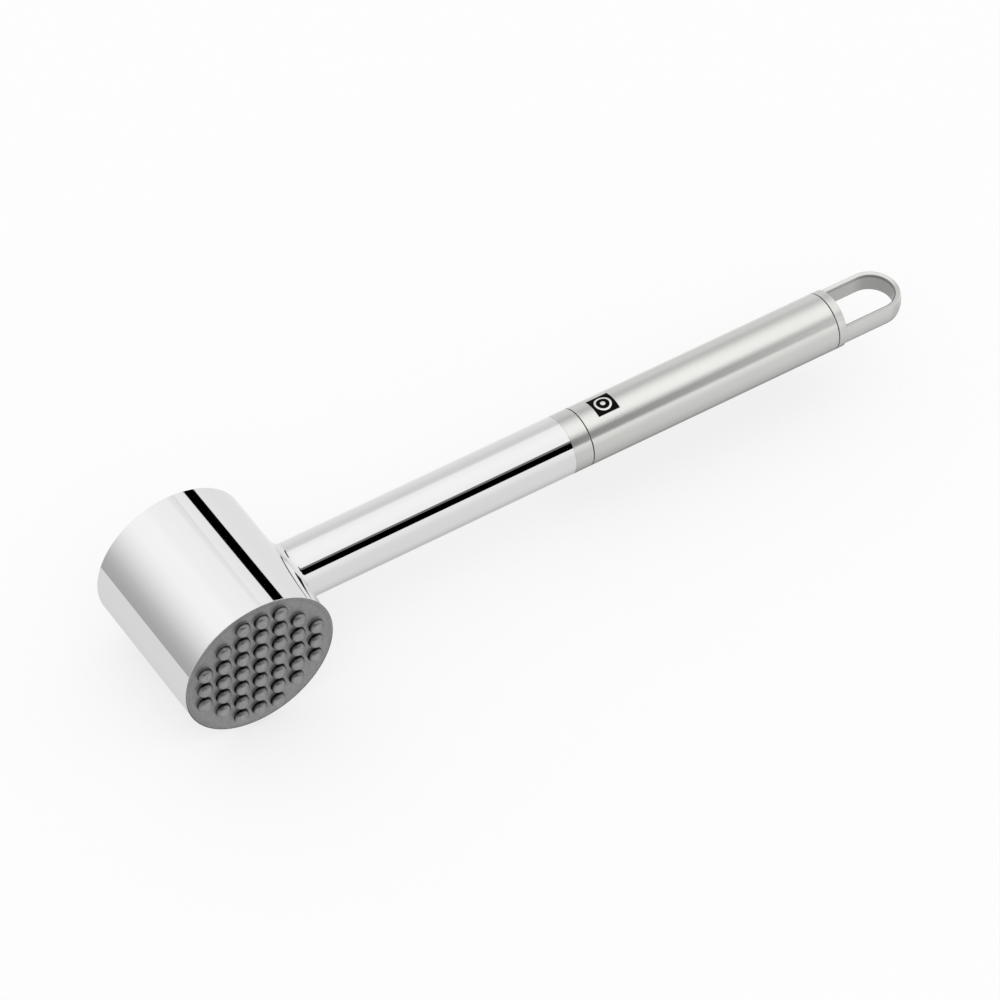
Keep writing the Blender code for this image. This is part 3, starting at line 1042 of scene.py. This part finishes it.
def seal_rubber():
    """Nearly black rubber with a fine grain."""
    material, g = new_material("seal_rubber")
    grain = g.noise(g.position(), 6000, detail=2)
    tone = g.plus(0.03, g.times(grain, 0.03))
    surface(
        g,
        Base_Color=g.tinted(tone, WHITE),
        Roughness=g.plus(0.5, g.times(grain, 0.2)),
        Specular_IOR_Level=0.2,
        Normal=g.bump(grain, 0.02 * MM, 0.3),
    )
    return material


def machined_steel():
    """The hidden pieces: bare steel with tool marks and a thin uneven film of oil."""
    material, g = new_material("machined_steel")
    marks = g.noise(stretched(g, 1, 0.2, 0.2), 3000, detail=3, roughness=0.7)
    film = g.noise(g.position(), 120, detail=4)
    tone = g.plus(0.42, g.times(marks, 0.16), g.times(film, 0.1))
    surface(
        g,
        Base_Color=g.tinted(tone, COOL_WHITE),
        Metallic=1.0,
        Roughness=g.plus(0.3, g.times(marks, 0.2), g.times(film, 0.1)),
        Normal=g.bump(marks, 0.02 * MM, 0.4),
    )
    return material


HIDDEN_PIECES = (
    "head_core",
    "studded_face_screw",
    "smooth_face_screw",
    "neck_plug",
    "tie_rod",
    "rod_lock_pin",
)


def finish_hidden_pieces(material):
    """Gives the CAD pieces that stay inside their finish."""
    for name in HIDDEN_PIECES:
        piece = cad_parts[name]
        piece.data.materials.clear()
        piece.data.materials.append(material)


# ---- studio ----

# Tones are light levels, 1 being the white that the picture can just hold. The floor is a pale sheet lit
# from below as well, so that it shows only a faint shadow.
FLOOR_ALBEDO = 0.35
FLOOR_FIBRES = 0.01
FLOOR_HALF = 4.0
FLOOR_GLOW = 0.615
DOME_LIGHT = 0.92
SUN_TONE = 0.14
SUN_WIDTH = math.radians(70)
SUN_LEAN = math.radians(25)
SUN_TURN = math.radians(-30)
BACKDROP_TONE = FLOOR_GLOW + FLOOR_ALBEDO * (DOME_LIGHT + SUN_TONE)

# What polished metal sees. Directions are an elevation, and an azimuth from +X towards +Y. These are tones
# by elevation, for the whole room and then for its right, far and left parts.
ROOM = [
    (-90, 0.56),
    (-67, 0.60),
    (-60, 0.65),
    (-48, 0.70),
    (-12, 0.716),
    (-3, 0.74),
    (6, 0.81),
    (16, 0.84),
    (51, 0.905),
    (59, 0.92),
    (66, 0.945),
    (90, 0.95),
]
RIGHT_SIDE = [
    (-52, 0.67),
    (-46, 0.88),
    (-39, 0.84),
    (-30, 0.79),
    (-21, 0.785),
    (2, 0.785),
    (12, 0.80),
    (36, 0.83),
    (44, 0.865),
    (50, 0.89),
    (60, 0.92),
]
FAR_SHADE = [
    (-52, 0.70),
    (-43, 0.96),
    (-34, 0.93),
    (-25, 0.87),
    (-16, 0.80),
    (-7, 0.763),
    (2, 0.745),
    (12, 0.718),
    (21, 0.685),
    (30, 0.644),
    (40, 0.65),
    (43.5, 0.72),
    (45.5, 0.79),
    (49, 0.84),
]
LEFT_WALL = [
    (-22, 0.39),
    (-15, 0.41),
    (-10, 0.43),
    (0, 0.51),
    (10, 0.64),
    (20, 0.77),
    (29, 0.87),
    (38, 0.94),
    (50, 0.955),
    (60, 0.945),
]

# The room's patches: the azimuth of the middle, half the width and how soft the sides are, then the lowest
# and highest elevation and how soft those edges are. ABOVE_ALL leaves a patch without an upper edge.
ABOVE_ALL = 100
RIGHT_PATCH = (50, 34, 8, -50, 56, 3)
FAR_PATCH = (72, 17.5, 0.7, -50, 49, 0.7)
UNDER_PATCH = (18, 40, 8, -75, -56, 3)
LEFT_PATCH = (160, 55, 10, -22.4, ABOVE_ALL, 0.4)
STRIP_PATCH = (38, 14, 2, 21, 33.5, 0.4)
NECK_PATCH = (-8, 35, 5, -56, -13, 4)
CROSSBAR_PATCH = (-39.5, 11.5, 1.5, 28, 48, 1.5)
OPENING_PATCH = (-109, 69, 2, 21.1, ABOVE_ALL, 0.3)

UNDER_TONE = 0.54
NECK_TONE = 0.46
OPENING_RIM_TONE = 0.16
BLACK = 0.0

# The top of the dark opening: its usual elevation, how much higher its dark grey rim goes, how soft both
# edges are, and the azimuth, width and height of its bulge.
OPENING_TOP = 39.0
OPENING_TOP_BLUR = 0.6
OPENING_RIM = 6.5
OPENING_RIM_BLUR = 1.0
BULGE_MIDDLE = -121.0
BULGE_WIDTH = 35.0
BULGE_HEIGHT = 28.0


class Studio:
    """The reflected room, laid down in layers. Each layer paints a tone over part of the sky."""

    def __init__(self, graph):
        direction = graph.add("ShaderNodeTexCoord", output="Generated")
        x, y, z = graph.split(direction)
        self.graph = graph
        self.elevation = graph.times(graph.math("ARCSINE", z), math.degrees(1))
        self.azimuth = graph.degrees(y, x)
        self.tone = graph.profile(self.elevation, ROOM)

    def patch(self, middle, half_width, side_blur, low, high, edge_blur):
        """The part of the sky round one azimuth and between two elevations."""
        g = self.graph
        turned = g.math("WRAP", g.minus(self.azimuth, middle), 180.0, -180.0)
        away = g.math("ABSOLUTE", turned)
        sides = g.rise(away, half_width - side_blur, half_width + side_blur)
        return g.times(g.opposite(sides), g.between(self.elevation, low, high, edge_blur))

    def opening(self, rim, blur):
        """The dark opening with the rim above its top, both in degrees of elevation."""
        g = self.graph
        distance = g.math("DIVIDE", g.minus(self.azimuth, BULGE_MIDDLE), BULGE_WIDTH)
        bulge = g.math("EXPONENT", g.times(distance, distance, -1.0))
        above = g.minus(self.elevation, g.plus(OPENING_TOP, g.times(bulge, BULGE_HEIGHT)))
        below_rim = g.opposite(g.rise(above, rim - blur, rim + blur))
        return g.times(self.patch(*OPENING_PATCH), below_rim)

    def paint(self, tone, mask):
        self.tone = self.graph.mix(mask, self.tone, tone)


def reflected_room(g):
    """The walls and the ground round the mallet, then the dark parts in front of them."""
    room = Studio(g)
    room.paint(g.profile(room.elevation, RIGHT_SIDE), room.patch(*RIGHT_PATCH))
    room.paint(g.profile(room.elevation, FAR_SHADE), room.patch(*FAR_PATCH))
    room.paint(UNDER_TONE, room.patch(*UNDER_PATCH))
    room.paint(g.profile(room.elevation, LEFT_WALL), room.patch(*LEFT_PATCH))
    room.paint(BLACK, room.patch(*STRIP_PATCH))
    room.paint(NECK_TONE, room.patch(*NECK_PATCH))
    room.paint(BLACK, room.patch(*CROSSBAR_PATCH))
    room.paint(OPENING_RIM_TONE, room.opening(OPENING_RIM, OPENING_RIM_BLUR))
    room.paint(BLACK, room.opening(0.0, OPENING_TOP_BLUR))
    return room.tone


def studio_world():
    """Polished metal reflects the studio; everything else is lit by a plain white dome."""
    world = bpy.data.worlds.new("studio")
    world.use_nodes = True
    world.cycles.sampling_method = "NONE"
    bpy.context.scene.world = world
    g = Graph(world.node_tree)
    rays = g.add("ShaderNodeLightPath").node.outputs
    plain = g.mix(rays["Is Camera Ray"], DOME_LIGHT, BACKDROP_TONE)
    tone = g.mix(rays["Is Glossy Ray"], plain, reflected_room(g))
    light = g.add("ShaderNodeBackground", {"Color": (1, 1, 1, 1), "Strength": tone})
    g.add("ShaderNodeOutputWorld", {"Surface": light})


def sun():
    """A very wide soft light that gives the floor a faint shadow."""
    light = bpy.data.lights.new("soft_key", "SUN")
    light.angle = SUN_WIDTH
    light.energy = SUN_TONE * math.pi / math.cos(SUN_LEAN)
    obj = bpy.data.objects.new("soft_key", light)
    obj.rotation_euler = (SUN_LEAN, 0, SUN_TURN)
    obj.visible_glossy = False
    bpy.context.scene.collection.objects.link(obj)


def floor():
    """A plain pale sheet under the head, lit from below, which polished metal doesn't reflect."""
    corners = [(-1, -1), (1, -1), (1, 1), (-1, 1)]
    places = [(x * FLOOR_HALF, y * FLOOR_HALF, cad_box[0].z) for x, y in corners]
    mesh = bpy.data.meshes.new("floor")
    mesh.from_pydata(places, [], [(0, 1, 2, 3)])
    obj = bpy.data.objects.new("floor", mesh)
    bpy.context.scene.collection.objects.link(obj)
    obj.visible_glossy = False
    material, g = new_material("floor_paper")
    fibres = g.noise(g.position(), 900, detail=3)
    tone = g.plus(FLOOR_ALBEDO - FLOOR_FIBRES / 2, g.times(fibres, FLOOR_FIBRES))
    sheet = g.add("ShaderNodeBsdfDiffuse", {"Color": g.join(tone, tone, tone)})
    glow = g.add("ShaderNodeEmission", {"Strength": FLOOR_GLOW})
    g.add("ShaderNodeOutputMaterial", {"Surface": g.add("ShaderNodeAddShader", {0: sheet, 1: glow})})
    mesh.materials.append(material)


# The camera: where it looks and from how far, its azimuth, elevation and roll in degrees, the lens in
# millimetres, and how far the picture is shifted, as a share of its width.
CAMERA_TARGET = Vector((0.09397, -0.03433, 0.0))
CAMERA_DISTANCE = 1.45662
CAMERA_AZIMUTH = -34.3961
CAMERA_ELEVATION = 47.796
CAMERA_ROLL = 1.5097
CAMERA_LENS = 175.59
CAMERA_SHIFT = (-0.0005, 0.0003)


def camera():
    """Sees the mallet from the photo's angle."""
    data = bpy.data.cameras.new("camera")
    data.sensor_width = 36
    data.lens = CAMERA_LENS
    data.shift_x, data.shift_y = CAMERA_SHIFT
    data.clip_start = 0.05
    data.clip_end = 50
    obj = bpy.data.objects.new("camera", data)
    bpy.context.scene.collection.objects.link(obj)
    azimuth, elevation = math.radians(CAMERA_AZIMUTH), math.radians(CAMERA_ELEVATION)
    flat = math.cos(elevation)
    back = Vector((math.sin(azimuth) * flat, -math.cos(azimuth) * flat, math.sin(elevation)))
    obj.location = CAMERA_TARGET + back * CAMERA_DISTANCE
    aim = (-back).to_track_quat("-Z", "Y")
    obj.rotation_mode = "QUATERNION"
    obj.rotation_quaternion = aim @ Quaternion((0, 0, 1), math.radians(CAMERA_ROLL))
    bpy.context.scene.camera = obj


# ---- build ----

polished = polished_steel()
matt = matt_steel()
satin = satin_steel()
rubber = seal_rubber()

head_shell(polished, matt)
smooth_disc(polished)
studded_disc(matt)
neck_fillet_ring(polished)
neck(polished)
ferrule_ring(satin)
seam_seal("front_seam_seal", front_seal_low.x, front_seal_high.x, rubber, "front_seal_ring")
grip(marked_satin_steel())
seam_seal("rear_seam_seal", rear_seal_low.x, rear_seal_high.x, rubber, "rear_seal_ring")
hanging_loop(loop_satin_steel())
finish_hidden_pieces(machined_steel())

studio_world()
sun()
floor()
camera()
bpy.context.scene.view_settings.view_transform = "Standard"

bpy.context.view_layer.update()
